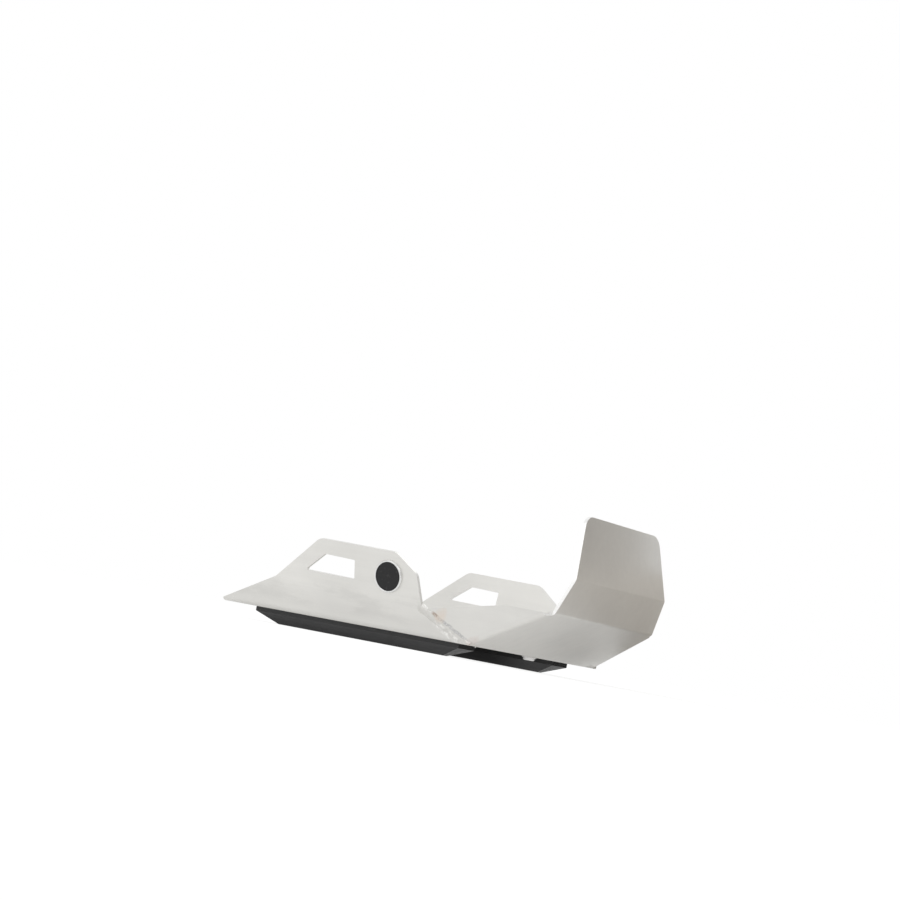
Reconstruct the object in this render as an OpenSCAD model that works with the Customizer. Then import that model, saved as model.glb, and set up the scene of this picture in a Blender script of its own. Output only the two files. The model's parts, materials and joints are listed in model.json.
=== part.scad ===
// Motorcycle skid plate: folded and welded aluminium tray with two plastic sliding runners.
// X runs forward, Y to the left side of the machine, Z up. The runners stand on z = 0.

/* [Sheet] */
// Sheet thickness of the tray
sheet_t = 4; // [3:0.5:5]
// Outer radius of every fold
fold_r = 6; // [5.5:0.5:8]
// Length of the flat belly, rear edge to front fold
belly_l = 338; // [310:1:400]
// Width of the belly over the side folds
belly_w = 288; // [270:1:320]

/* [Front panels] */
// Length of the lower front panel up its slope
a_len = 96; // [92:1:110]
// Slope of the lower front panel
a_ang = 31; // [27:1:35]
// Length of the middle front panel up its slope
b_len = 42.5; // [34:0.5:52]
// Slope of the middle front panel
b_ang = 71.5; // [64:0.5:78]
// Length of the upper front panel
c_len = 72; // [55:1:90]
// Slope of the upper front panel, above 90 it leans back
c_ang = 99.3; // [92:0.1:104]
// Half width of the front at the lower crease
a_half = 114; // [106:0.5:116]
// Half width of the front at the upper crease
b_half = 105; // [98:0.5:108]
// Half width of the front at its top edge
c_half = 85.5; // [75:0.5:95]
// Radius of the two top corners
c_round = 17; // [8:1:20]

/* [Gussets] */
// How far up the lower front panel each gusset fold runs
g_run = 86.5; // [82:0.5:88]
// Half width of the lower front panel at the end of the gusset fold
g_half = 124.5; // [122:0.5:127]
// Place of the gusset peak along its fold
g_peak_p = 54.5; // [50:0.5:60]
// Height of the gusset peak over its fold
g_peak_q = 26.5; // [24:0.5:30]

/* [Side wings] */
// Outward lean of the wings
wing_lean = 12; // [8:1:16]
// Front foot of the wing, back from the front fold
w0_u = 62.5; // [56:0.5:68]
// Height of that foot, top end of the weld seam
w0_v = 31; // [28:0.5:34]
// Front shoulder, back from the front fold
w1_u = 72; // [70:0.5:76]
// Height of the front shoulder
w1_v = 67; // [62:0.5:70]
// Front end of the top edge, back from the front fold
w2_u = 101; // [96:0.5:106]
// Height of the top edge at its front end
w2_v = 87.5; // [82:0.5:92]
// Rear end of the top edge, back from the front fold
w3_u = 205; // [198:0.5:208]
// Height of the top edge at its rear end
w3_v = 89.5; // [86:0.5:94]
// Rear shoulder, back from the front fold
w4_u = 263.5; // [258:0.5:270]
// Height of the rear shoulder
w4_v = 38.5; // [34:0.5:42]
// Height left at the rear tip
w5_v = 3.4; // [3.4:0.2:6]

/* [Wing window] */
// Front edge of the window, back from the front fold
win_front = 154.5; // [150:0.5:158]
// Rear end of the window's top edge, back from the front fold
win_top_rear = 196.5; // [190:0.5:200]
// Rear end of the window's bottom edge, back from the front fold
win_low_rear = 222.5; // [214:0.5:226]
// Height of the window's bottom edge at the front
win_low = 50; // [46:0.5:54]
// Height of the window's top edge at the front
win_high = 71; // [67:0.5:74]
// How much higher both window edges are at the rear
win_rise = 1.5; // [0:0.5:3]

/* [Badge] */
// Diameter of the round badge cup
badge_d = 36; // [30:1:38]
// Wall of the badge cup
badge_wall = 2; // [1.5:0.5:3]
// Height of the badge cup over the wing
badge_h = 2.6; // [2:0.2:4]
// Floor of the badge cup
badge_floor = 0.8; // [0.6:0.1:1.2]
// Badge centre, back from the front fold
badge_u = 108.5; // [105:0.5:114]
// Badge centre height
badge_v = 59.5; // [57:0.5:61]

/* [Runners] */
// Length of each runner
runner_l = 280; // [250:1:284]
// Width of each runner at the belly
runner_w = 34; // [30:1:40]
// Height of each runner
runner_h = 16; // [14:1:22]
// Upright part of the runner sides and ends
runner_side = 5; // [4:0.5:7]
// Length of the sloping ends
runner_nose = 26; // [18:1:36]
// Width of the runner's sliding face
runner_sole = 8; // [6:1:14]
// Distance between the runner centre lines
runner_gap = 210; // [190:1:216]
// Front end of the runners, back from the front fold
runner_x = 25; // [22:1:40]

/* [Fasteners] */
// Runner screw thread diameter
screw_d = 6; // [5:1:6]
// Runner screw length under the head
screw_l = 16; // [14:1:16]
// Runner screw head diameter
screw_head_d = 10.5; // [9.5:0.5:11]
// Runner screw head height
screw_head_h = 3.3; // [2.8:0.1:3.6]
// Washer outer diameter
washer_d = 18; // [14:1:20]
// Washer thickness
washer_t = 1.6; // [1.2:0.2:2]
// Distance of the end screws from the runner ends
screw_inset = 40; // [34:1:60]
// Mounting bolt thread diameter
bolt_d = 8; // [8:1:10]
// Mounting bolt length under the head
bolt_l = 30; // [26:1:40]
// Diameter of the mounting bolt's plain shank
shank_d = 7.2; // [6.6:0.1:7.4]
// Mounting bolt flange diameter
bolt_flange_d = 17.5; // [17:0.5:21]
// Mounting bolt head height with flange
bolt_head_h = 4.4; // [4:0.2:5.4]
// Spacer sleeve outer diameter
sleeve_d = 18; // [16:1:22]
// Spacer sleeve height
sleeve_h = 12; // [8:1:16]
// Front mounting bolts, back from the front fold
bolt_front = 46; // [42:1:60]
// Rear mounting bolts, forward of the rear edge
bolt_tail = 38; // [33:1:60]
// Distance between left and right mounting bolts
bolt_gap = 136; // [120:1:144]
// Clearance round a bolt or screw in its hole
hole_fit = 0.4; // [0.2:0.1:0.6]

/* [Belly openings] */
// Diameter of the oil drain opening
drain_d = 50; // [40:1:60]
// Drain opening centre, back from the front fold
drain_x = 170; // [150:1:190]
// Length of the water slots
slot_l = 36; // [24:1:44]
// Width of the water slots
slot_w = 8; // [6:1:10]
// Sideways place of the water slots
slot_y = 42; // [36:1:50]

/* [Weld seam] */
// Radius of the round weld bead
bead_r = 4.2; // [3.8:0.1:4.6]
// Depth of the bead axis under the corner
bead_sink = 3.3; // [3.1:0.1:3.4]
// Pitch of the weld ripples
bead_pitch = 3.4; // [2.8:0.2:5]

/* [Hidden] */
$fn = 96;

function dir(a) = [cos(a), sin(a)];
function unit(v) = v / norm(v);
function setback(b) = fold_r * tan(b / 2);

// Corner points of the outer face in side view, from the front fold up
q1 = a_len * dir(a_ang);
q2 = q1 + b_len * dir(b_ang);
q3 = q2 + c_len * dir(c_ang);
in_r = fold_r - sheet_t;
half = belly_w / 2;
reach = q2[0] - setback(c_ang - b_ang) * cos(b_ang) - fold_r * sin(b_ang) + fold_r;
fold_x = (belly_l - reach) / 2;
bolt_rear = belly_l - bolt_tail;

// Side fold of the belly
wing_turn = 90 - wing_lean;
wing_set = setback(wing_turn);
up = [0, -sin(wing_lean), cos(wing_lean)];
corner = [-setback(a_ang), wing_set - half, fold_r];

// Gusset plane of the right side: fold line start, end and top end of the weld seam
g0 = [0, -half, 0];
gk = [g_run * cos(a_ang), -g_half, g_run * sin(a_ang)];
gw = [-w0_u, -half, 0] + w0_v * up;
g_n = unit(cross(gk - g0, gw - g0));
g_l = unit(gk - g0);
g_q = cross(g_n, g_l);
g_len = norm(gk - g0);
a_n = [sin(a_ang), 0, -cos(a_ang)];
g_turn = acos(a_n * g_n);
g_set = setback(g_turn);
g_slant = atan2(half - g_half, g_run);
w_n = [0, -cos(wing_lean), -sin(wing_lean)];
seam = gw - g0;
seam_z = unit(seam);
seam_x = unit(w_n + g_n);
seam_y = cross(seam_z, seam_x);

screw_xs = [-runner_x - screw_inset, -runner_x - runner_l / 2, -runner_x - runner_l + screw_inset];
badge_face_r = badge_d / 2 - badge_wall;

// Arc points that round the corner p between its neighbours a and b
function arc_at(p, a, b, r, n = 6) =
  let(u = unit(a - p), v = unit(b - p), w = acos(u * v), c = p + unit(u + v) * r / sin(w / 2),
    s = p + u * r / tan(w / 2) - c, a0 = atan2(s[1], s[0]),
    turn = (180 - w) * (u[0] * v[1] - u[1] * v[0] > 0 ? -1 : 1))
  [for (i = [0:n]) c + r * dir(a0 + turn * i / n)];
function round_poly(pts, rs) = [for (i = [0:len(pts) - 1])
  each (rs[i] > 0 ? arc_at(pts[i], pts[(i + len(pts) - 1) % len(pts)], pts[(i + 1) % len(pts)], rs[i])
    : [pts[i]])];

// Places its children in the frame whose axes are x, y, z and whose origin is o
module frame(o, x, y, z)
  multmatrix([[x[0], y[0], z[0], o[0]], [x[1], y[1], z[1], o[1]], [x[2], y[2], z[2], o[2]], [0, 0, 0, 1]])
    children();

module seat() translate([fold_x, 0, runner_h]) children();
module both() { children(); mirror([0, 1, 0]) children(); }

// Arc of n chords round c, from direction a0 to a1
function chords(c, r, a0, a1, n) = [for (i = [0:n]) c + r * dir(a0 + (a1 - a0) * i / n)];
function fold_c(p, a0, a1) = p - setback(a1 - a0) * dir(a0) + fold_r * [-sin(a0), cos(a0)];
function flip_y(pts) = [for (i = [len(pts) - 1:-1:0]) [-pts[i][0], pts[i][1]]];

// Solid cross section of the tray, d inside its outer faces, drawn out along the machine
module tray_core(d, back) {
  r = fold_r - d;
  c = [corner[1], fold_r];
  h = concat([c + r * dir(180 + wing_lean) + 240 * dir(90 + wing_lean)],
    chords(c, r, 180 + wing_lean, 270, 8));
  translate([-belly_l - back, 0, 0]) rotate([90, 0, 90]) linear_extrude(height = belly_l + 200)
    polygon(concat(h, flip_y(h)));
}

// Solid side view of belly and front panels, d behind their outer faces, drawn out sideways
module front_core(d, back, rise) {
  r = fold_r - d;
  end = q3 + d * [-sin(c_ang), cos(c_ang)] + rise * dir(c_ang);
  rotate([90, 0, 0]) linear_extrude(height = 2 * belly_w, center = true)
    polygon(concat([[-belly_l - back, d]], chords(fold_c([0, 0], 0, a_ang), r, -90, a_ang - 90, 5),
      chords(fold_c(q1, a_ang, b_ang), r, a_ang - 90, b_ang - 90, 6),
      chords(fold_c(q2, b_ang, c_ang), r, b_ang - 90, c_ang - 90, 4),
      [end, [-belly_l - back, end[1]]]));
}

// Draws [up the slope, sideways] outlines as prisms square to the lower front panel
module on_slope(low, high) rotate([0, -a_ang, 0]) translate([0, 0, low]) linear_extrude(height = high - low)
  children();

// What is cut off beside the lower front panel, just inside the gusset fold
module a_trim() {
  off = g_set / cos(g_slant) + 0.3;
  g = tan(g_slant);
  on_slope(-2, sheet_t + 0.5)
    polygon([[1.2, -(half - off - 1.2 * g)], [a_len - 2, -(half - off - (a_len - 2) * g)],
      [a_len - 2, -2 * half], [1.2, -2 * half]]);
}

// Straight end cut through gusset fold and lower panel, from the fold line to the lower crease
module end_cut() {
  a = [g_run, -g_half];
  b = [a_len - 3, -a_half];
  on_slope(-3, 40) polygon([b, b + [30, -20], b + [30, -90], a + 40 * unit(a - b)]);
}

// Front view of the middle and upper panels, [sideways, height]
module front_outline()
  polygon(round_poly([[-a_half, 0], [a_half, 0], [a_half, q1[1]], [b_half, q2[1]], [c_half, q3[1]],
    [-c_half, q3[1]], [-b_half, q2[1]], [-a_half, q1[1]]], [0, 0, 0, 0, c_round, c_round, 0, 0]));

// What is cut off beside and above the middle and upper panels
module front_trim()
  difference() {
    rotate([90, 0, 90]) translate([0, 0, 20]) linear_extrude(height = q2[0] + 20) difference() {
      translate([-2 * half, 10]) square([4 * half, q3[1] + 40]);
      front_outline();
    }
    rotate([0, -a_ang, 0]) translate([-60, -3 * half, -100]) cube([a_len + 57, 6 * half, 400]);
  }

module on_wing() translate([0, -half, 0]) rotate([90 + wing_lean, 0, 0]) children();

// What is cut off round the right wing and out of its window
module wing_trim() {
  fall = (w4_v - w5_v) / (belly_l - w4_u);
  on_wing() translate([0, 0, -sheet_t - 0.8]) linear_extrude(height = sheet_t + 4)
    polygon(round_poly([[-belly_l - 10, w5_v - 10 * fall], [-w4_u, w4_v], [-w3_u, w3_v], [-w2_u, w2_v],
      [-w1_u, w1_v], [-w0_u, w0_v], [7.5 - w0_u, w0_v - 3], [q2[0] + 40, w0_v - 3], [q2[0] + 40, 250],
      [-belly_l - 10, 250]], [0, 10, 13, 16, 12, 0, 0, 0, 0, 0]));
  on_wing() translate([0, 0, -sheet_t - 2]) linear_extrude(height = sheet_t + 4)
    polygon(round_poly([[-win_front, win_low], [-win_front - 1, win_high],
      [-win_top_rear, win_high + win_rise], [-win_low_rear, win_low + win_rise]], [1.5, 1.5, 1.5, 1.5]));
}

// What is cut off outside the gusset plane, up to the front foot of the wing
module corner_trim()
  intersection() {
    frame(g0, g_l, g_q, g_n) translate([-150, -150, -0.3]) cube([400, 400, 80]);
    translate([-150, -2 * half, -20]) cube([400, 2 * half, 20 + gw[2]]);
  }

// Right gusset: sheet and its fold to the lower front panel, rooted in that panel
module gusset() {
  c = [g_set, -fold_r];
  e = 0.05;
  t_dir = dir(180 + g_turn);
  r_dir = dir(90 + g_turn);
  intersection() {
    frame(g0, g_l, g_q, g_n)
      intersection() {
        translate([-w0_u, 0, 0]) rotate([90, 0, 90]) linear_extrude(height = w0_u + g_len + 8)
          polygon(concat([[90, -e]], chords(c, fold_r - e, 90, 90 + g_turn, 8),
            [c + (fold_r - e) * r_dir + 3 * t_dir, c + (in_r + e) * r_dir + 3 * t_dir],
            chords(c, in_r + e, 90 + g_turn, 90, 6), [[90, e - sheet_t]]));
        translate([0, 0, -30]) linear_extrude(height = 40)
          polygon([[-2, -1], [g_len + 6, -1], [g_len + 6, 2], [g_peak_p, g_peak_q], [seam * g_l, seam * g_q]]);
      }
    translate([-150, -2 * half, 0.05]) cube([400, 2 * half, 150]);
  }
}

// Rippled weld bead along the corner of wing and gusset, tapered at both ends
module weld() {
  n = floor(norm(seam) / bead_pitch);
  l = norm(seam);
  p = l / n;
  intersection() {
    frame(g0 - bead_sink * seam_x, seam_x, seam_y, seam_z)
      rotate(-64) rotate_extrude(angle = 128)
        polygon(concat([[bead_r - 2.8, -1.2], [bead_r - 1.2, -1.2], [bead_r - 0.3, 0.2]],
          [for (i = [0:n - 1]) each [[bead_r - 0.2, (i + 0.18) * p + 0.5], [bead_r + 0.1, (i + 0.5) * p],
            [bead_r - 0.02, (i + 0.8) * p - 0.2]]],
          [[bead_r - 0.2, l + 0.9], [bead_r - 1.2, l + 2.4], [bead_r - 2.8, l + 2.4]]));
    translate([-150, -2 * half, 0.05]) cube([400, 2 * half, 150]);
  }
}

// Holes and openings of the belly
module belly_holes() {
  translate([-drain_x, 0, -1]) cylinder(d = drain_d, h = sheet_t + 2);
  for (x = [-bolt_front - 50, -bolt_rear + 50], s = [-1, 1])
    translate([x, s * slot_y, -1]) {
      for (e = [-1, 1]) translate([e * (slot_l - slot_w) / 2, 0, 0]) cylinder(d = slot_w, h = sheet_t + 2);
      translate([-(slot_l - slot_w) / 2, -slot_w / 2, 0]) cube([slot_l - slot_w, slot_w, sheet_t + 2]);
    }
  for (x = [-bolt_front, -bolt_rear], s = [-1, 1])
    translate([x, s * bolt_gap / 2, -1]) cylinder(d = bolt_d + 2 * hole_fit, h = sheet_t + 2);
  for (x = screw_xs, s = [-1, 1])
    translate([x, s * runner_gap / 2, -1]) cylinder(d = screw_d + 2 * hole_fit, h = sheet_t + 2);
}

// The whole folded and welded sheet tray
module shell()
  difference() {
    intersection() { tray_core(0, 0); front_core(0, 20, 5); }
    intersection() { tray_core(sheet_t, 10); front_core(sheet_t, 20, 40); }
    front_trim();
    both() { a_trim(); wing_trim(); corner_trim(); }
    belly_holes();
  }
module skid_plate()
  color([0.80, 0.80, 0.79]) seat() difference() {
    union() {
      shell();
      both() { gusset(); weld(); }
    }
    both() end_cut();
  }

// Cup and dark face of the round badge, bare of any sign
module badge_cup() {
  r = badge_d / 2;
  rotate_extrude() polygon([[0, 0], [r, 0], [r, badge_h - 1], [r - 0.5, badge_h - 0.2], [r - 0.9, badge_h],
    [r - badge_wall + 0.3, badge_h], [r - badge_wall, badge_h - 0.3], [r - badge_wall, badge_floor],
    [0, badge_floor]]);
}
module badge_face()
  rotate_extrude() polygon([[0, badge_floor], [badge_face_r, badge_floor], [badge_face_r, 1.6],
    [badge_face_r - 0.4, 1.9], [0, 2.1]]);
module on_badge() seat() on_wing() translate([-badge_u, badge_v, 0]) children();

module badge_cup_right() color([0.86, 0.86, 0.87]) on_badge() badge_cup();
module badge_cup_left() mirror([0, 1, 0]) badge_cup_right();
module badge_face_right() color([0.08, 0.08, 0.09]) on_badge() badge_face();
module badge_face_left() mirror([0, 1, 0]) badge_face_right();

// One runner under the belly: bevelled on all four sides, three blind screw holes from above
module runner(s)
  color([0.13, 0.13, 0.14]) seat() translate([0, s * runner_gap / 2, 0])
    difference() {
      intersection() {
        rotate([90, 0, 0]) linear_extrude(height = runner_w + 2, center = true)
          polygon([[-runner_x - runner_l, 0], [-runner_x - runner_l, -runner_side],
            [-runner_x - runner_l + runner_nose, -runner_h], [-runner_x - runner_nose, -runner_h],
            [-runner_x, -runner_side], [-runner_x, 0]]);
        translate([-runner_x - runner_l - 1, 0, 0]) rotate([90, 0, 90]) linear_extrude(height = runner_l + 2)
          polygon([[-runner_w / 2, 0], [-runner_w / 2, -runner_side], [-runner_sole / 2, -runner_h],
            [runner_sole / 2, -runner_h], [runner_w / 2, -runner_side], [runner_w / 2, 0]]);
      }
      for (x = screw_xs) translate([x, 0, sheet_t + washer_t - screw_l - 0.5])
        cylinder(d = screw_d, h = screw_l + 2);
    }
module runner_right() runner(-1);
module runner_left() runner(1);

// Button head screw: thread end down, head seat at z = 0
module screw(d, l, hd, hh, key)
  difference() {
    union() {
      rotate_extrude() polygon([[0, 0.5], [0, -l], [d / 2 - 0.6, -l], [d / 2, -l + 0.6], [d / 2, 0],
        [hd / 2, 0], [hd / 2, 0.6], [hd / 2 - 0.35, 0.33 * hh], [hd / 2 - 1.0, 0.62 * hh],
        [hd / 2 - 2.0, 0.87 * hh], [hd / 2 - 3.0, hh], [0, hh]]);
    }
    translate([0, 0, hh - 0.55 * hh]) cylinder(d = key / cos(30), h = hh, $fn = 6);
  }
module runner_screw(i, s) color([0.72, 0.72, 0.73]) seat()
  translate([screw_xs[i], s * runner_gap / 2, sheet_t + washer_t]) screw(screw_d, screw_l, screw_head_d, screw_head_h, 4);
module runner_washer(i, s) color([0.75, 0.75, 0.76]) seat()
  translate([screw_xs[i], s * runner_gap / 2, sheet_t]) difference() {
    cylinder(d = washer_d, h = washer_t);
    translate([0, 0, -1]) cylinder(d = screw_d + 2 * hole_fit, h = washer_t + 2);
  }

// Flanged button head bolt from below, plain shank through sheet and sleeve, thread above them
module mount_bolt(x, s) {
  grip = sheet_t + sleeve_h;
  color([0.78, 0.78, 0.79]) seat() translate([-x, s * bolt_gap / 2, 0]) mirror([0, 0, 1]) {
    difference() {
      rotate_extrude() polygon([[0, 0.5], [0, -bolt_l], [bolt_d / 2 - 0.8, -bolt_l], [bolt_d / 2, -bolt_l + 0.8],
        [bolt_d / 2, -grip - 0.8], [shank_d / 2, -grip - 0.4], [shank_d / 2, 0], [bolt_flange_d / 2, 0], [bolt_flange_d / 2, 0.7], [bolt_flange_d / 2 - 0.5, 1.1],
        [bolt_flange_d / 2 - 1.75, 1.3], [bolt_flange_d / 2 - 2.0, 2.1], [bolt_flange_d / 2 - 2.7, 0.7 * bolt_head_h],
        [bolt_flange_d / 2 - 3.8, 0.9 * bolt_head_h], [bolt_flange_d / 2 - 4.9, bolt_head_h], [0, bolt_head_h]]);
      translate([0, 0, bolt_head_h - 2.6]) cylinder(d = 5 / cos(30), h = 5, $fn = 6);
    }
  }
}
module mount_sleeve(x, s)
  color([0.70, 0.70, 0.71]) seat() translate([-x, s * bolt_gap / 2, sheet_t]) difference() {
    rotate_extrude() polygon([[0, 0], [sleeve_d / 2 - 0.6, 0], [sleeve_d / 2, 0.6], [sleeve_d / 2, sleeve_h - 0.6],
      [sleeve_d / 2 - 0.6, sleeve_h], [0, sleeve_h]]);
    translate([0, 0, -1]) cylinder(d = bolt_d + 2 * hole_fit, h = sleeve_h + 2);
  }

// One module for each fastener
module runner_screw_right_front() runner_screw(0, -1);
module runner_screw_right_middle() runner_screw(1, -1);
module runner_screw_right_rear() runner_screw(2, -1);
module runner_screw_left_front() runner_screw(0, 1);
module runner_screw_left_middle() runner_screw(1, 1);
module runner_screw_left_rear() runner_screw(2, 1);
module runner_washer_right_front() runner_washer(0, -1);
module runner_washer_right_middle() runner_washer(1, -1);
module runner_washer_right_rear() runner_washer(2, -1);
module runner_washer_left_front() runner_washer(0, 1);
module runner_washer_left_middle() runner_washer(1, 1);
module runner_washer_left_rear() runner_washer(2, 1);
module mount_bolt_right_front() mount_bolt(bolt_front, -1);
module mount_bolt_right_rear() mount_bolt(bolt_rear, -1);
module mount_bolt_left_front() mount_bolt(bolt_front, 1);
module mount_bolt_left_rear() mount_bolt(bolt_rear, 1);
module mount_sleeve_right_front() mount_sleeve(bolt_front, -1);
module mount_sleeve_right_rear() mount_sleeve(bolt_rear, -1);
module mount_sleeve_left_front() mount_sleeve(bolt_front, 1);
module mount_sleeve_left_rear() mount_sleeve(bolt_rear, 1);

skid_plate();
badge_cup_right();
badge_cup_left();
badge_face_right();
badge_face_left();
runner_right();
runner_left();
runner_screw_right_front();
runner_screw_right_middle();
runner_screw_right_rear();
runner_screw_left_front();
runner_screw_left_middle();
runner_screw_left_rear();
runner_washer_right_front();
runner_washer_right_middle();
runner_washer_right_rear();
runner_washer_left_front();
runner_washer_left_middle();
runner_washer_left_rear();
mount_bolt_right_front();
mount_bolt_right_rear();
mount_bolt_left_front();
mount_bolt_left_rear();
mount_sleeve_right_front();
mount_sleeve_right_rear();
mount_sleeve_left_front();
mount_sleeve_left_rear();
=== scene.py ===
"""Looks of the folded sheet skid plate: materials, fastener detail, weld beads, floor, light and camera."""
import json
import math

import bpy
import bmesh
from mathutils import Matrix, Vector, noise


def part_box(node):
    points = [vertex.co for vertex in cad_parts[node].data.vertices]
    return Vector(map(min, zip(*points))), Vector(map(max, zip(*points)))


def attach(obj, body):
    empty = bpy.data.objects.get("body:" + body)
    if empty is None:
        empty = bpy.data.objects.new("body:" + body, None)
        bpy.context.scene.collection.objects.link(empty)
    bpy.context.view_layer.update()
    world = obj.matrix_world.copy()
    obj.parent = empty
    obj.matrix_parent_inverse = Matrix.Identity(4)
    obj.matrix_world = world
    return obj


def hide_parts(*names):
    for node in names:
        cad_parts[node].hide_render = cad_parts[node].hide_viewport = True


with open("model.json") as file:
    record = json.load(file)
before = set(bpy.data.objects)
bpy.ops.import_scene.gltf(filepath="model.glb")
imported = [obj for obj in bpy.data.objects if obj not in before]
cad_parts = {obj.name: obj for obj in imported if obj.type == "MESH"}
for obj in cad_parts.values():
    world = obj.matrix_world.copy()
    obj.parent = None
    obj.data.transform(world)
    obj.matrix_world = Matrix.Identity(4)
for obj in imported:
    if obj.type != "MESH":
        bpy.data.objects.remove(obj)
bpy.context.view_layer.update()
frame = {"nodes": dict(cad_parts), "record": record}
NODES = frame["nodes"]
SLOTS = {row["node"]: row["material_slot"] for row in frame["record"]["subparts"]}
MM = 0.001

# The floor's share of its own white where it is seen and where it is mirrored, and how white that is
FLOOR_SEEN, FLOOR_MIRRORED, FLOOR_GLOW = 0.80, 0.55, 1.06
FLOOR_HALF = 6.0
# The world's strength as light and in mirrors
WORLD_LIGHT, WORLD_MIRRORED = 0.90, 0.80
# The grey card's distance beyond the shield, its height and width, the place of its near end, its grey
CARD_DISTANCE, CARD_HEIGHT, CARD_WIDTH, CARD_END, CARD_TONE = 0.125, 0.60, 1.2, -0.045, 0.378

# The virtual front fold corner on the belly's underside, in metres, half the belly's width, the wings' lean
FOLD = Vector((0.1212, 0.0, 0.016))
BELLY_HALF = 0.144
LEAN = math.radians(12)


def on_wing(back, up):
    """Point on the right wing's outer face, so far behind the front fold and so far up the wing."""
    return FOLD + Vector((-back, -BELLY_HALF - up * math.sin(LEAN), up * math.cos(LEAN)))


# Weld seam of the right side, from its lower to its upper end, and the badge's centre
SEAM_A = on_wing(0.0, 0.0)
SEAM_B = on_wing(0.0625, 0.031)
BADGE = on_wing(0.1085, 0.0595)
SEAM = (SEAM_B - SEAM_A).normalized()
SEAM_LENGTH = (SEAM_B - SEAM_A).length
# The gusset's fold line, and the outward normals of wing and gusset
GUSSET_FOLD = Vector((0.0742, 0.0195, 0.0446))
WING = Vector((0.0, -math.cos(LEAN), -math.sin(LEAN)))
GUSSET = GUSSET_FOLD.cross(SEAM_B - SEAM_A).normalized()
# The weld bead's outward direction, and the direction across the seam from the wing to the gusset
OUTWARD = (WING + GUSSET).normalized()
ACROSS = SEAM.cross(WING).normalized()
# Outward normal of the straight cut that ends fold and lower panel
END_CUT = Vector((0.753, -0.476, 0.453)).normalized()
# How far ahead of the fold the upper front panels begin
SHIELD_AHEAD = 0.079
# Centres of the heat tints: at the seam's lower end, and beside its upper half
LOW_TINT = FOLD + Vector((0.0075, -0.1452, 0.0008))
HAZE = SEAM_A.lerp(SEAM_B, 0.66) + ACROSS * 0.0075


class Graph:
    """Short hand for building the nodes of a world or material."""

    def __init__(self, owner):
        owner.use_nodes = True
        self.tree = owner.node_tree

    def new(self, kind):
        return self.tree.nodes.new(kind)

    def put(self, socket, value):
        if isinstance(value, bpy.types.NodeSocket):
            self.tree.links.new(value, socket)
        else:
            socket.default_value = tuple(value) if isinstance(value, Vector) else value

    def math(self, op, a, b=0.0, clamp=False):
        n = self.new("ShaderNodeMath")
        n.operation, n.use_clamp = op, clamp
        self.put(n.inputs[0], a)
        self.put(n.inputs[1], b)
        return n.outputs[0]

    def times(self, value, *others):
        for other in others:
            value = self.math("MULTIPLY", value, other)
        return value

    def vary(self, base, *parts):
        """The base value, swinging with each texture by its width."""
        for texture, width in parts:
            base = self.math("ADD", base, self.times(self.math("SUBTRACT", texture, 0.5), width))
        return base

    def ray_kinds(self):
        """Masks of the rays that see a surface straight and of those that see it mirrored."""
        path = self.new("ShaderNodeLightPath").outputs
        mirrored = self.math("ADD", path["Is Glossy Ray"], path["Is Transmission Ray"], clamp=True)
        return path["Is Camera Ray"], mirrored


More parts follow.
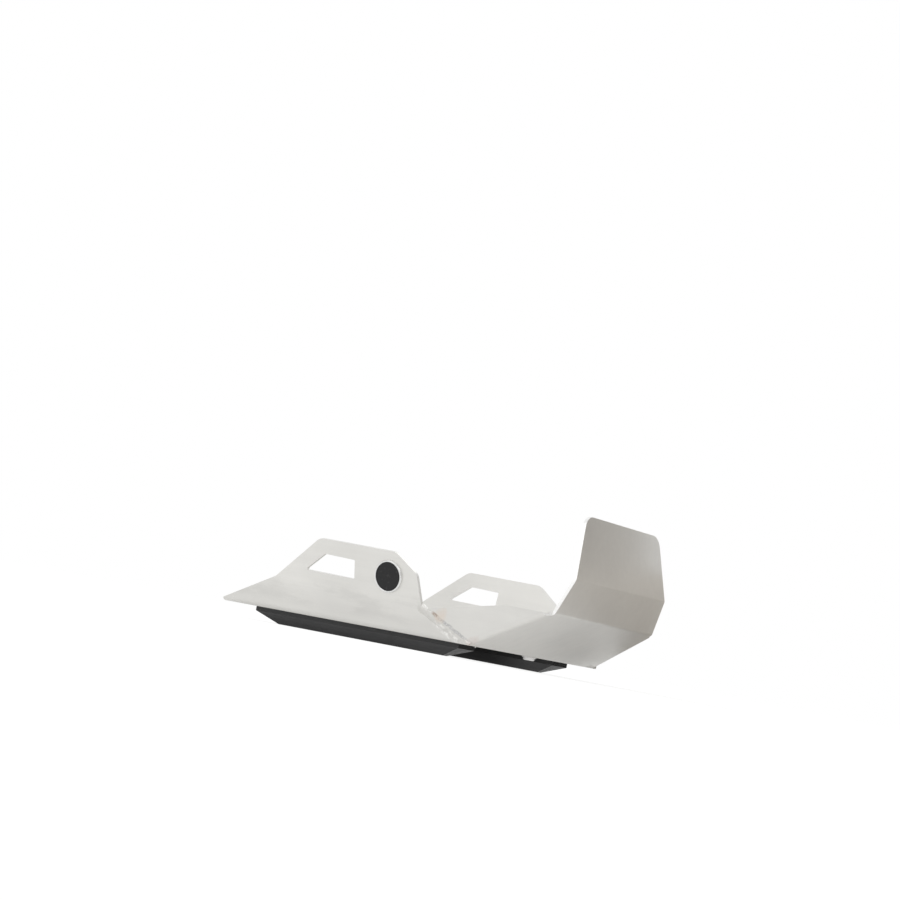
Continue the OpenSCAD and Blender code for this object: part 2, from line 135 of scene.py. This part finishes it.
class Surface(Graph):
    """The nodes of one new material."""

    def __init__(self, name):
        self.mat = bpy.data.materials.new(name)
        super().__init__(self.mat)
        self.shader = self.tree.nodes["Principled BSDF"]
        self.coord = self.new("ShaderNodeTexCoord").outputs["Object"]

    def set(self, **values):
        for key, value in values.items():
            self.put(self.shader.inputs[key.replace("_", " ")], value)

    def vec(self, op, a, b=(0, 0, 0), out=0):
        n = self.new("ShaderNodeVectorMath")
        n.operation = op
        self.put(n.inputs[0], a)
        self.put(n.inputs[1], b)
        return n.outputs[out]

    def dot(self, a, b):
        return self.vec("DOT_PRODUCT", a, b, out=1)

    def length(self, vector):
        return self.vec("LENGTH", vector, out=1)

    def distance(self, a, b):
        return self.vec("DISTANCE", a, b, out=1)

    def stretch(self, scale):
        return self.vec("MULTIPLY", self.coord, scale)

    def split(self, vector):
        n = self.new("ShaderNodeSeparateXYZ")
        self.put(n.inputs[0], vector)
        return n.outputs

    def join(self, x, y, z):
        n = self.new("ShaderNodeCombineXYZ")
        for socket, value in zip(n.inputs, (x, y, z)):
            self.put(socket, value)
        return n.outputs[0]

    def tint(self, tone, red=1.0, blue=1.0):
        """The grey of that tone, with its red and its blue taken up or down."""
        return self.join(self.times(tone, red), tone, self.times(tone, blue))

    def noise(self, vector, scale=1.0, detail=3.0, rough=0.55):
        n = self.new("ShaderNodeTexNoise")
        self.put(n.inputs["Vector"], vector)
        n.inputs["Scale"].default_value = scale
        n.inputs["Detail"].default_value = detail
        n.inputs["Roughness"].default_value = rough
        return n.outputs["Fac"]

    def ramp(self, value, low, high, to_low=0.0, to_high=1.0):
        """Smooth step from to_low, where the value is at low, to to_high, where it is at high."""
        n = self.new("ShaderNodeMapRange")
        n.interpolation_type = "SMOOTHSTEP"
        for i, v in enumerate((value, low, high, to_low, to_high)):
            self.put(n.inputs[i], v)
        return n.outputs[0]

    def band(self, value, a, b, c, d):
        """1 between b and c, falling to 0 at a and d."""
        return self.times(self.ramp(value, a, b), self.ramp(value, d, c))

    def mix(self, factor, a, b):
        n = self.new("ShaderNodeMix")
        n.data_type = "RGBA"
        self.put(n.inputs[0], factor)
        self.put(n.inputs[6], a)
        self.put(n.inputs[7], b)
        return n.outputs[2]

    def bump(self, height, strength, distance, normal=None):
        n = self.new("ShaderNodeBump")
        n.inputs["Strength"].default_value = strength
        n.inputs["Distance"].default_value = distance
        self.put(n.inputs["Height"], height)
        if normal is not None:
            self.put(n.inputs["Normal"], normal)
        return n.outputs[0]

    def folded(self, vector):
        """The vector with its left half laid on the right one."""
        x, y, z = self.split(vector)
        return self.join(x, self.times(self.math("ABSOLUTE", y), -1.0), z)

    def face_normal(self):
        """The flat face's own normal, in object coordinates."""
        turn = self.new("ShaderNodeVectorTransform")
        turn.vector_type, turn.convert_from, turn.convert_to = "NORMAL", "WORLD", "OBJECT"
        self.put(turn.inputs[0], self.new("ShaderNodeNewGeometry").outputs["True Normal"])
        return turn.outputs[0]

    def edge(self, radius):
        """1 at sharp edges, 0 on flat faces."""
        n = self.new("ShaderNodeBevel")
        n.samples = 4
        n.inputs["Radius"].default_value = radius
        straight = self.new("ShaderNodeNewGeometry").outputs["Normal"]
        return self.ramp(self.dot(n.outputs[0], straight), 0.995, 0.90)


def grey(v):
    return (v, v, v, 1.0)


class Seam:
    """Where a point of the sheet lies by the weld seam, for masks of what the weld left there and of the
    painted shade at its toe.
    """

    def __init__(self, g, half):
        self.g = g
        away = g.vec("SUBTRACT", half, SEAM_A)
        # Place along the seam, 0 at its lower end and 1 at its upper one
        self.along = g.math("DIVIDE", g.dot(away, SEAM), SEAM_LENGTH)
        # Distance across it in metres, over 0 on the gusset, with a slight wander
        self.across = g.vary(g.dot(away, ACROSS), (g.noise(g.coord, scale=150.0), 0.0030))
        off_line = g.length(g.vec("CROSS_PRODUCT", away, SEAM))
        self.close = g.times(g.band(self.along, -0.12, -0.02, 1.04, 1.12), g.ramp(off_line, 0.030, 0.014))

    def mark(self, across, along=None):
        """1 near the seam inside the band across it and, where one is given, the band along it."""
        mask = self.g.times(self.g.band(self.across, *across), self.close)
        if along:
            mask = self.g.times(mask, self.g.band(self.along, *along))
        return mask


def sheet_color(g, seam, outer, cloud):
    """Rolled and brushed sheet: paler up the wings, with a smeared band along their foot."""
    cloud_big = g.noise(g.coord, scale=6.0, detail=3.0)
    brush_wide = g.noise(g.stretch((5.0, 120.0, 120.0)), detail=2.0)
    tone = g.vary(0.72, (cloud_big, 0.12), (brush_wide, 0.05), (cloud, 0.06))
    height = g.split(g.coord)[2]
    gusset = g.times(g.math("GREATER_THAN", seam.across, 0.0015), g.math("LESS_THAN", seam.along, 1.0))
    wing = g.times(outer, g.math("SUBTRACT", 1.0, gusset))
    tone = g.math("ADD", tone, g.times(wing, g.ramp(height, 0.030, 0.056, 0.0, 0.045)))
    smear = g.noise(g.stretch((15.0, 46.0, 46.0)), detail=5.0, rough=0.68)
    smear = g.times(g.ramp(smear, 0.42, 0.62), g.band(height, 0.022, 0.034, 0.050, 0.064))
    tone = g.math("SUBTRACT", tone, g.times(wing, smear, 0.055))
    return g.tint(tone, 1.012, 0.960)


def weld_marks_and_toe_shade(g, seam, color, bead, ripple, lump):
    """Paler ripples on the bead, a whitish band beside it on the wing and painted shade along its toe on the
    gusset.
    """
    pale = seam.mark(across=(-0.0095, -0.0060, -0.0012, 0.0012), along=(0.08, 0.20, 0.58, 0.76))
    toe_shade = seam.mark(across=(0.0018, 0.0028, 0.0036, 0.0054), along=(0.02, 0.14, 0.58, 0.78))
    toe_shade = g.times(toe_shade, g.ramp(g.noise(g.coord, scale=240.0, detail=3.0), 0.34, 0.54, 0.45, 1.0))
    color = g.mix(g.times(bead, g.ramp(ripple, 0.35, 0.65, 0.0, 0.30)), color, (0.80, 0.79, 0.78, 1))
    color = g.mix(g.times(pale, lump, 0.90), color, (0.96, 0.95, 0.93, 1))
    # Painted shade: the groove at the bead's toe on the gusset is darkened
    return g.mix(g.times(toe_shade, 0.52), color, (0.36, 0.36, 0.375, 1))


def heat_tints(g, seam, color, half, lump):
    """A pale orange haze, a brown spot, and a pinkish lower corner that is faint on the left side."""
    fray = g.noise(g.coord, scale=130.0, detail=3.0)
    haze = g.ramp(g.vary(g.distance(half, HAZE), (fray, 0.012)), 0.0110, 0.001)
    spot = seam.mark(across=(0.0018, 0.0030, 0.0042, 0.0056), along=(0.68, 0.73, 0.77, 0.84))
    low = g.ramp(g.vary(g.distance(half, LOW_TINT), (fray, 0.012)), 0.0125, 0.004)
    low = g.times(low, g.ramp(g.split(g.coord)[1], -0.02, 0.02, 1.0, 0.2))
    color = g.mix(g.times(haze, 0.44), color, (0.74, 0.58, 0.45, 1))
    color = g.mix(g.times(spot, 0.62), color, (0.34, 0.22, 0.15, 1))
    return g.mix(g.times(low, g.ramp(lump, 0.2, 0.8, 0.30, 0.70)), color, (0.60, 0.46, 0.42, 1))


def cut_edges(g, outer, color):
    """Sawn edges of the sheet are brighter than its rolled faces, partly as their own finish and partly as
    painted highlight.
    """
    normal = g.folded(g.face_normal())
    front = g.math("GREATER_THAN", g.split(g.coord)[0], FOLD.x + SHIELD_AHEAD)
    shield_side = g.times(front, g.math("LESS_THAN", g.split(normal)[1], -0.30))
    end_cut = g.math("GREATER_THAN", g.dot(normal, END_CUT), 0.96)
    flat = g.math("ABSOLUTE", g.dot(normal, WING))
    wing_edge = g.times(outer, 0.6, g.math("LESS_THAN", flat, 0.12))
    cut = g.math("MAXIMUM", g.math("MAXIMUM", shield_side, end_cut), wing_edge)
    saw = g.noise(g.stretch((260.0, 260.0, 1100.0)), detail=2.0)
    # Partly painted highlight: the sawn edges are lightened towards near white
    return g.mix(g.times(cut, g.ramp(saw, 0.3, 0.7, 0.80, 1.0)), color, (0.93, 0.93, 0.92, 1))


def plate_material():
    g = Surface("plate_aluminium")
    half = g.folded(g.coord)
    seam = Seam(g, half)
    brush = g.noise(g.stretch((14.0, 900.0, 900.0)), detail=2.0)
    cloud = g.noise(g.coord, scale=22.0, detail=4.0, rough=0.6)
    ripple = g.noise(g.coord, scale=380.0, detail=4.0)
    lump = g.ramp(g.noise(g.coord, scale=170.0, detail=3.0), 0.40, 0.66)
    bead = seam.mark(across=(-0.0040, -0.0026, 0.0020, 0.0032))
    # Wings and gussets lie outside the belly's width
    outer = g.math("GREATER_THAN", g.math("ABSOLUTE", g.split(g.coord)[1]), BELLY_HALF + 0.0006)

    color = sheet_color(g, seam, outer, cloud)
    color = weld_marks_and_toe_shade(g, seam, color, bead, ripple, lump)
    color = heat_tints(g, seam, color, half, lump)
    color = cut_edges(g, outer, color)
    # Painted highlight: the sheet's sharp edges are lightened, less so on the bead
    rim_highlight = g.times(g.edge(0.0006), g.math("SUBTRACT", 0.5, g.times(bead, 0.5)))
    color = g.mix(rim_highlight, color, (0.90, 0.90, 0.88, 1))

    rough = g.vary(0.42, (brush, 0.20), (cloud, 0.14))
    rough = g.math("ADD", rough, g.times(bead, 0.34), clamp=True)
    normal = g.bump(brush, 0.12, 0.0004)
    normal = g.bump(g.noise(g.coord, scale=900.0, detail=2.0), 0.08, 0.0002, normal)
    normal = g.bump(g.times(ripple, bead), 0.25, 0.0008, normal)
    g.set(Base_Color=color, Roughness=rough, Normal=normal, Metallic=0.88)
    return g.mat


def runner_material():
    """Black plastic with scuffs along it, painted highlights on its edges, and dull sawn ends."""
    g = Surface("runner_plastic")
    scuff = g.noise(g.stretch((9.0, 380.0, 380.0)), detail=3.0, rough=0.7)
    cloud = g.noise(g.coord, scale=60.0, detail=4.0)
    wear = g.times(g.ramp(scuff, 0.55, 0.75), g.ramp(cloud, 0.4, 0.7))
    tone = g.math("ADD", 0.020, g.times(cloud, 0.012))
    color = g.mix(g.times(wear, 0.35), g.tint(tone, blue=1.05), grey(0.13))
    # Painted highlight: the runner's sharp edges are lightened
    color = g.mix(g.times(g.edge(0.0008), 0.35), color, grey(0.16))
    sawn = g.math("GREATER_THAN", g.math("ABSOLUTE", g.split(g.face_normal())[0]), 0.95)
    lines = g.ramp(g.noise(g.stretch((300.0, 300.0, 1500.0)), detail=2.0), 0.3, 0.7, 0.004, 0.012)
    color = g.mix(sawn, color, g.tint(lines))
    rough = g.math("MAXIMUM", g.ramp(scuff, 0.3, 0.8, 0.34, 0.56), g.times(sawn, 0.85))
    normal = g.bump(scuff, 0.20, 0.0004, g.bump(g.noise(g.coord, scale=1400.0), 0.2, 0.0001))
    g.set(Base_Color=color, Roughness=rough, Normal=normal, Metallic=0.0)
    return g.mat


def turning_lines(g, pitch):
    """Fine rings round the badge's axis, on either side."""
    away = g.vec("SUBTRACT", g.folded(g.coord), BADGE)
    radius = g.length(g.vec("CROSS_PRODUCT", away, WING))
    return g.math("SINE", g.times(radius, 2 * math.pi / pitch))


def badge_rim_material():
    g = Surface("badge_rim_metal")
    fine = g.noise(g.coord, scale=700.0)
    color = g.tint(g.vary(0.80, (fine, 0.14)), blue=0.99)
    normal = g.bump(turning_lines(g, 0.00022), 0.12, 0.00005)
    g.set(Base_Color=color, Roughness=g.ramp(fine, 0.3, 0.7, 0.24, 0.36), Normal=normal, Metallic=1.0)
    return g.mat


def badge_face_material():
    g = Surface("badge_face_dark")
    grain = g.noise(g.coord, scale=1800.0, detail=2.0)
    dust = g.ramp(g.noise(g.coord, scale=260.0, detail=5.0), 0.56, 0.72)
    tone = g.ramp(grain, 0.3, 0.7, 0.010, 0.018)
    color = g.mix(g.times(dust, 0.10), g.tint(tone, blue=1.04), grey(0.22))
    normal = g.bump(grain, 0.25, 0.00012, g.bump(turning_lines(g, 0.0005), 0.05, 0.00004))
    g.set(Base_Color=color, Roughness=g.ramp(grain, 0.2, 0.8, 0.34, 0.52), Normal=normal, Metallic=0.0,
          Specular_IOR_Level=0.30)
    return g.mat


def metal_material(name, base, warm, rough):
    """Small turned part: fine grain, a few dull spots and a painted highlight on its edges."""
    g = Surface(name)
    fine = g.noise(g.coord, scale=500.0, detail=3.0)
    spots = g.ramp(g.noise(g.coord, scale=160.0, detail=4.0), 0.55, 0.75)
    color = g.tint(g.vary(base, (fine, 0.12)), 1 + warm, 1 - warm)
    color = g.mix(g.times(spots, 0.35), color, (0.40, 0.37, 0.33, 1))
    # Painted highlight: sharp edges are lightened
    color = g.mix(g.times(g.edge(0.0003), 0.4), color, grey(0.85))
    g.set(Base_Color=color, Roughness=g.ramp(fine, 0.3, 0.7, rough, rough + 0.14), Metallic=1.0,
          Normal=g.bump(fine, 0.12, 0.0001))
    return g.mat


MATERIALS = {
    "plate": plate_material(),
    "badge_rim": badge_rim_material(),
    "badge_face": badge_face_material(),
    "runner": runner_material(),
    "bolt": metal_material("bolt_zinc", 0.90, 0.01, 0.34),
    "sleeve": metal_material("sleeve_aluminium", 0.72, 0.0, 0.30),
    "screw": metal_material("screw_stainless", 0.62, 0.02, 0.24),
}


def smooth_group():
    """Smooth shading up to an edge angle, as a modifier, so that the mesh itself stays."""
    tree = bpy.data.node_groups.new("smooth_by_angle", "GeometryNodeTree")
    tree.interface.new_socket("Geometry", in_out="INPUT", socket_type="NodeSocketGeometry")
    tree.interface.new_socket("Geometry", in_out="OUTPUT", socket_type="NodeSocketGeometry")
    n = tree.nodes
    start, end = n.new("NodeGroupInput"), n.new("NodeGroupOutput")
    merge = n.new("GeometryNodeMergeByDistance")
    merge.inputs["Distance"].default_value = 1e-6
    angle = n.new("GeometryNodeInputMeshEdgeAngle")
    over = n.new("FunctionNodeCompare")
    over.data_type, over.operation = "FLOAT", "GREATER_THAN"
    over.inputs[1].default_value = math.radians(24)
    faces = n.new("GeometryNodeSetShadeSmooth")
    faces.domain = "FACE"
    faces.inputs["Shade Smooth"].default_value = True
    edges = n.new("GeometryNodeSetShadeSmooth")
    edges.domain = "EDGE"
    edges.inputs["Shade Smooth"].default_value = False
    link = tree.links.new
    link(start.outputs[0], merge.inputs["Geometry"])
    link(merge.outputs[0], faces.inputs["Geometry"])
    link(faces.outputs[0], edges.inputs["Geometry"])
    link(angle.outputs["Unsigned Angle"], over.inputs[0])
    link(over.outputs[0], edges.inputs["Selection"])
    link(edges.outputs[0], end.inputs[0])
    return tree


SMOOTH = smooth_group()
# Width of the broken edges, for the slots that have them
BEVELS = {"plate": 0.0005, "runner": 0.0006}

for name, obj in NODES.items():
    slot = SLOTS[name]
    obj.data.materials.clear()
    obj.data.materials.append(MATERIALS[slot])
    obj.modifiers.new("smooth", "NODES").node_group = SMOOTH
    if slot in BEVELS:
        bevel = obj.modifiers.new("edge", "BEVEL")
        bevel.width, bevel.segments, bevel.limit_method = BEVELS[slot], 2, "ANGLE"
        bevel.angle_limit = math.radians(34)
        obj.modifiers.new("even", "WEIGHTED_NORMAL").keep_sharp = True


def add_mesh(name, verts, faces, mat):
    """A new object of that shape and material in the scene."""
    mesh = bpy.data.meshes.new(name)
    mesh.from_pydata(verts, [], faces)
    mesh.materials.append(mat)
    obj = bpy.data.objects.new(name, mesh)
    bpy.context.scene.collection.objects.link(obj)
    return obj


def turned(name, rings, mat, seat, flip=False):
    """A closed turned shape: rings are (height, radius) in mm, radius a number or a function of the angle."""
    steps = 48
    verts = [(0.0, 0.0, rings[0][0])]
    for z, r in rings:
        for i in range(steps):
            a = 2 * math.pi * i / steps
            rad = r(a) if callable(r) else r
            verts.append((rad * math.cos(a), rad * math.sin(a), z))
    verts.append((0.0, 0.0, rings[-1][0]))
    faces = []
    last = 1 + (len(rings) - 1) * steps
    for i in range(steps):
        j = (i + 1) % steps
        faces.append((0, 1 + j, 1 + i))
        for a in range(1, last, steps):
            b = a + steps
            faces.append((a + i, a + j, b + j, b + i))
        faces.append((last + i, last + j, len(verts) - 1))
    sign = -1.0 if flip else 1.0
    verts = [(seat[0] + x * MM, seat[1] + y * MM, seat[2] + sign * z * MM) for x, y, z in verts]
    if flip:
        faces = [tuple(reversed(f)) for f in faces]
    obj = add_mesh(name, verts, faces, mat)
    obj.modifiers.new("smooth", "NODES").node_group = SMOOTH
    return obj


def hexagon(width):
    def radius(a):
        w = a % (math.pi / 3) - math.pi / 6
        return width / 2 / math.cos(w)
    return radius


def thread(root, crest, pitch, z):
    def radius(a):
        turn = (z / pitch - a / (2 * math.pi)) % 1.0
        return root + (crest - root) * min(1.0, max(0.0, 1.5 - abs(4 * turn - 2) * 0.9))
    return radius


def fastener_rings(r, length, pitch, plain, shank, head, socket, depth):
    """From the thread's tip over shank and head to the bottom of the hexagon socket; seat at 0."""
    rings = [(-length, r * 0.55), (-length, r - 0.11 * length ** 0.5)]
    rise = pitch / 8
    for i in range(int((length - plain - 1.0) / rise) + 1):
        z = -length + 0.8 + i * rise
        rings.append((z, thread(r * 0.85, r * 0.998, pitch, z)))
    rings += [(-plain, min(shank, r * 0.93)), (-plain + 0.3, shank), (-0.25, shank), (0.0, shank)]
    rings += head
    top = head[-1][0]
    rings += [(top, socket / 2 / math.cos(math.pi / 6) + 0.35), (top - 0.3, hexagon(socket)),
              (top - depth, hexagon(socket)), (top - depth, socket * 0.40), (top - depth - 0.35, 0.02)]
    return rings


def round_off(x0, z0, x1, z1, n=7):
    """Quarter ellipse from (x0, z0) upright to (x1, z1) level, as (height, radius)."""
    angles = [math.pi / 2 * i / n for i in range(n + 1)]
    return [(z0 + (z1 - z0) * math.sin(a), x1 + (x0 - x1) * math.cos(a)) for a in angles]


# Head profiles over the seat, as (height, radius), and the heights of the plain heads, in millimetres
BOLT_HEAD = ([(0.0, 8.60), (0.12, 8.745), (0.62, 8.745), (0.95, 8.55), (1.20, 7.9), (1.36, 7.3),
              (1.9, 7.15)] + round_off(7.10, 2.1, 4.6, 4.39))
SCREW_HEAD = [(0.0, 5.10), (0.12, 5.245), (0.55, 5.245)] + round_off(5.20, 0.7, 2.75, 3.29)
BOLT_HEAD_HEIGHT, SCREW_HEAD_HEIGHT = 4.4, 3.3
BOLT_RINGS = fastener_rings(r=3.995, length=30.0, pitch=1.25, plain=16.6, shank=3.59, head=BOLT_HEAD,
                            socket=5.0, depth=2.5)
SCREW_RINGS = fastener_rings(r=2.995, length=16.0, pitch=1.0, plain=6.2, shank=2.985, head=SCREW_HEAD,
                             socket=4.0, depth=1.8)

for name in NODES:
    if not (name.startswith("mount_bolt") or name.startswith("runner_screw")):
        continue
    lo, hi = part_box(name)
    x, y = (lo[0] + hi[0]) / 2, (lo[1] + hi[1]) / 2
    if name.startswith("mount_bolt"):
        seat = (x, y, lo[2] + BOLT_HEAD_HEIGHT * MM)
        new = turned(name + "_detail", BOLT_RINGS, MATERIALS["bolt"], seat, flip=True)
    else:
        seat = (x, y, hi[2] - SCREW_HEAD_HEIGHT * MM)
        new = turned(name + "_detail", SCREW_RINGS, MATERIALS["screw"], seat)
    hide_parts(name)
    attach(new, "root")

# Weld bead, in millimetres: its axis' depth under the seam, the sheet faces' distance from that axis, its
# mean radius, how far it runs past the seam's lower and upper end, and how far apart its rings are
BEAD_SINK, BEAD_TO_SHEET, BEAD_RADIUS = 3.3, 3.237, 4.56
BEAD_BELOW, BEAD_ABOVE = 1.4, 2.6
BEAD_STEP = 0.25
# The bead's arc runs to this angle on either side, in that many steps; wing and gusset bend by SEAM_BEND
BEAD_REACH, BEAD_ARC_STEPS = 75, 30
SEAM_BEND = math.radians(11.25)


def bead_radius(t, a, length):
    """The bead's radius, t along the seam and at the angle a round it, which is below 0 on the wing."""
    lump = 0.34 * noise.noise((t * 0.20, a * 1.3, 3.7)) + 0.20 * noise.noise((t * 0.55, a * 2.6, 9.1))
    ripple = 0.045 * math.cos(2 * math.pi * (t + 0.9 * a * a) / 1.35)
    wing_foot = 0.75 * math.exp(-((-a - 0.95) / 0.32) ** 2) if a < 0 else 0.0
    wing_foot *= 0.75 + 0.5 * noise.noise((t * 0.16, 1.0, 5.0))
    knot = 0.55 * math.exp(-((t - length + 0.5) / 3.0) ** 2)
    end = min(1.0, max(0.0, (t + BEAD_BELOW) / 2.2), max(0.0, (length + BEAD_ABOVE - t) / BEAD_ABOVE))
    swell = math.sqrt(max(0.0, 1.0 - (1.0 - end) ** 2))
    to_sheet = BEAD_TO_SHEET / math.cos(max(0.0, abs(a) - SEAM_BEND))
    r = min(BEAD_RADIUS + lump + ripple + wing_foot + knot, to_sheet - 0.25 + swell * 1.9)
    # The outer edges dip into the sheet
    return min(r, to_sheet - 0.4) if abs(a) > math.radians(70) else r


def weld_bead(name, side):
    """Hand-laid bead over the seam: lumpy, finely rippled, wider on the wing, rounded off at both ends."""
    length = SEAM_LENGTH / MM
    turn = SEAM.cross(OUTWARD)
    full = length + BEAD_BELOW + BEAD_ABOVE
    steps = int(full / BEAD_STEP)
    points = []
    for i in range(steps + 1):
        t = -BEAD_BELOW + full * i / steps
        axis = SEAM_A + SEAM * t * MM - OUTWARD * BEAD_SINK * MM
        for k in range(BEAD_ARC_STEPS + 1):
            a = math.radians(-BEAD_REACH + 2 * BEAD_REACH * k / BEAD_ARC_STEPS)
            outward = OUTWARD * math.cos(a) + turn * math.sin(a)
            points.append(axis + outward * bead_radius(t, a, length) * MM)
        points.append(axis - OUTWARD * 0.2 * MM)
    # It stays above the belly's underside
    verts = [(p.x, p.y * side, max(p.z, FOLD.z + 0.06 * MM)) for p in points]
    n = BEAD_ARC_STEPS + 2
    faces = []
    for i in range(steps):
        for k in range(n):
            a, b = i * n + k, i * n + (k + 1) % n
            faces.append((a, b, b + n, a + n))
    faces += [tuple(range(n - 1, -1, -1)), tuple(range(steps * n, steps * n + n))]
    obj = add_mesh(name, verts, faces, MATERIALS["plate"])
    bm = bmesh.new()
    bm.from_mesh(obj.data)
    bmesh.ops.recalc_face_normals(bm, faces=bm.faces)
    bm.to_mesh(obj.data)
    bm.free()
    obj.modifiers.new("smooth", "NODES").node_group = SMOOTH
    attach(obj, "root")


weld_bead("weld_detail_right", 1.0)
weld_bead("weld_detail_left", -1.0)


def floor_material():
    """Pale floor, partly white of itself where it is seen or mirrored, so that it keeps a soft shadow."""
    g = Surface("floor_pale")
    tone = g.ramp(g.noise(g.coord, scale=3.0), 0.3, 0.7, 0.88, 0.91)
    g.set(Base_Color=g.tint(tone), Roughness=0.9)
    seen, mirrored = g.ray_kinds()
    # In mirrors it is darker under the belly, a painted shadow of the belly on the floor's glow, and beyond
    # the front panels
    x, y, _ = g.split(g.coord)
    under = g.times(g.ramp(g.math("ABSOLUTE", y), 0.125, 0.09), g.ramp(x, 0.07, 0.0))
    beyond = g.times(g.ramp(y, -0.04, 0.14, 0.0, 0.38), g.ramp(x, 0.115, 0.135))
    level = g.times(g.math("SUBTRACT", 1.0, beyond), g.math("SUBTRACT", 1.0, g.times(under, 0.75)))
    level = g.math("MAXIMUM", level, g.times(seen, FLOOR_GLOW))
    far = g.ramp(g.length(g.coord), 0.35, 0.95, FLOOR_SEEN, 1.0)
    share = g.math("MAXIMUM", g.times(seen, far), g.times(mirrored, FLOOR_MIRRORED))
    glow = g.new("ShaderNodeEmission")
    g.put(glow.inputs["Color"], g.tint(level))
    blend = g.new("ShaderNodeMixShader")
    for socket, source in zip(blend.inputs, (share, g.shader.outputs[0], glow.outputs[0])):
        g.put(socket, source)
    g.put(g.tree.nodes["Material Output"].inputs["Surface"], blend.outputs[0])
    return g.mat


floor = add_mesh("floor", [], [], floor_material())
bm = bmesh.new()
bmesh.ops.create_grid(bm, x_segments=2, y_segments=2, size=FLOOR_HALF)
bm.to_mesh(floor.data)
bm.free()


def card_material():
    """Warm grey, lighter in a band low down and at the low part of the long end."""
    g = Surface("card_grey")
    x, height, _ = g.split(g.coord)
    tone = g.ramp(g.noise(g.coord, scale=4.0), 0.3, 0.7, CARD_TONE - 0.02, CARD_TONE + 0.02)
    low_band = g.times(g.ramp(height, -0.54, -0.42), g.ramp(height, -0.19, -0.29, 0.0, 0.27))
    end_light = g.times(g.ramp(x, -0.488, -0.408, 0.12, 0.0), g.ramp(height, -0.33, -0.24))
    tone = g.math("ADD", g.math("ADD", tone, low_band), end_light)
    g.set(Base_Color=g.tint(tone, 1.05, 0.945), Roughness=0.9)
    return g.mat


def put_axes(obj, x_axis, y_axis, z_axis, origin):
    """Set an object's own axes, with their lengths as its scale, and its origin."""
    columns = [tuple(v) + (0.0,) for v in (x_axis, y_axis, z_axis)] + [tuple(origin) + (1.0,)]
    obj.matrix_world = Matrix(columns).transposed()


# Card out of view beyond the front shield, mirrored by its panels; its outline is in shares of its width
# and height, and the low part of one end reaches further out
CARD_OUTLINE = [(-0.60, -0.5, 0), (0.5, -0.5, 0), (0.5, 0.5, 0), (-0.488, 0.5, 0), (-0.488, -0.24, 0),
                (-0.60, -0.32, 0)]
card = add_mesh("card", CARD_OUTLINE, [(0, 1, 2, 3, 4, 5)], card_material())
toward = Vector((0.503, 0.864, 0.0)).normalized()
sideways = Vector((toward.y, -toward.x, 0.0))
shield_foot = Vector((FOLD.x + 0.10, 0.0, CARD_HEIGHT / 2))
put_axes(card, sideways * CARD_WIDTH, Vector((0.0, 0.0, CARD_HEIGHT)), toward,
         shield_foot + toward * CARD_DISTANCE + sideways * (CARD_END + CARD_WIDTH / 2))
card.visible_camera = False
card.visible_shadow = False

# World: white where it is seen, a little softer in mirrors and as light
world = bpy.data.worlds.new("studio")
bpy.context.scene.world = world
g = Graph(world)
seen, mirrored = g.ray_kinds()
strength = g.math("ADD", WORLD_LIGHT, g.times(mirrored, WORLD_MIRRORED - WORLD_LIGHT))
strength = g.math("ADD", strength, g.times(seen, 1.0 - WORLD_LIGHT))
back = g.tree.nodes["Background"]
g.put(back.inputs["Color"], (1, 1, 1, 1))
g.put(back.inputs["Strength"], strength)


def lamp(name, place, size, power):
    """Soft rectangular lamp, aimed at the middle of the part."""
    data = bpy.data.lights.new(name, "AREA")
    data.shape, data.size, data.size_y, data.energy = "RECTANGLE", size[0], size[1], power
    obj = bpy.data.objects.new(name, data)
    obj.location = place
    obj.rotation_mode = "QUATERNION"
    obj.rotation_quaternion = (Vector((0, 0, 0.05)) - Vector(place)).to_track_quat("-Z", "Y")
    bpy.context.scene.collection.objects.link(obj)


lamp("key", (-0.5, -1.6, 1.5), (1.2, 1.0), 5)
lamp("fill", (1.4, -1.2, 1.6), (1.0, 1.0), 4)
lamp("top", (0.0, 0.8, 2.0), (1.4, 1.0), 6)

# Camera from the photograph: position and axes worked out from the folds of the sheet
RIGHT = Vector((0.83073, 0.52574, 0.18301))
DOWN = Vector((0.10963, 0.16781, -0.97971))
AHEAD = Vector((-0.54578, 0.83393, 0.08177))
EYE = FOLD + Vector((1.3089, -2.2479, 0.0))
cam_data = bpy.data.cameras.new("camera")
cam_data.lens, cam_data.sensor_width = 92.0, 36.0
cam_data.clip_start, cam_data.clip_end = 0.1, 50
camera = bpy.data.objects.new("camera", cam_data)
put_axes(camera, RIGHT, -DOWN, -AHEAD, EYE)
bpy.context.scene.collection.objects.link(camera)
bpy.context.scene.camera = camera
bpy.context.scene.view_settings.view_transform = "Standard"
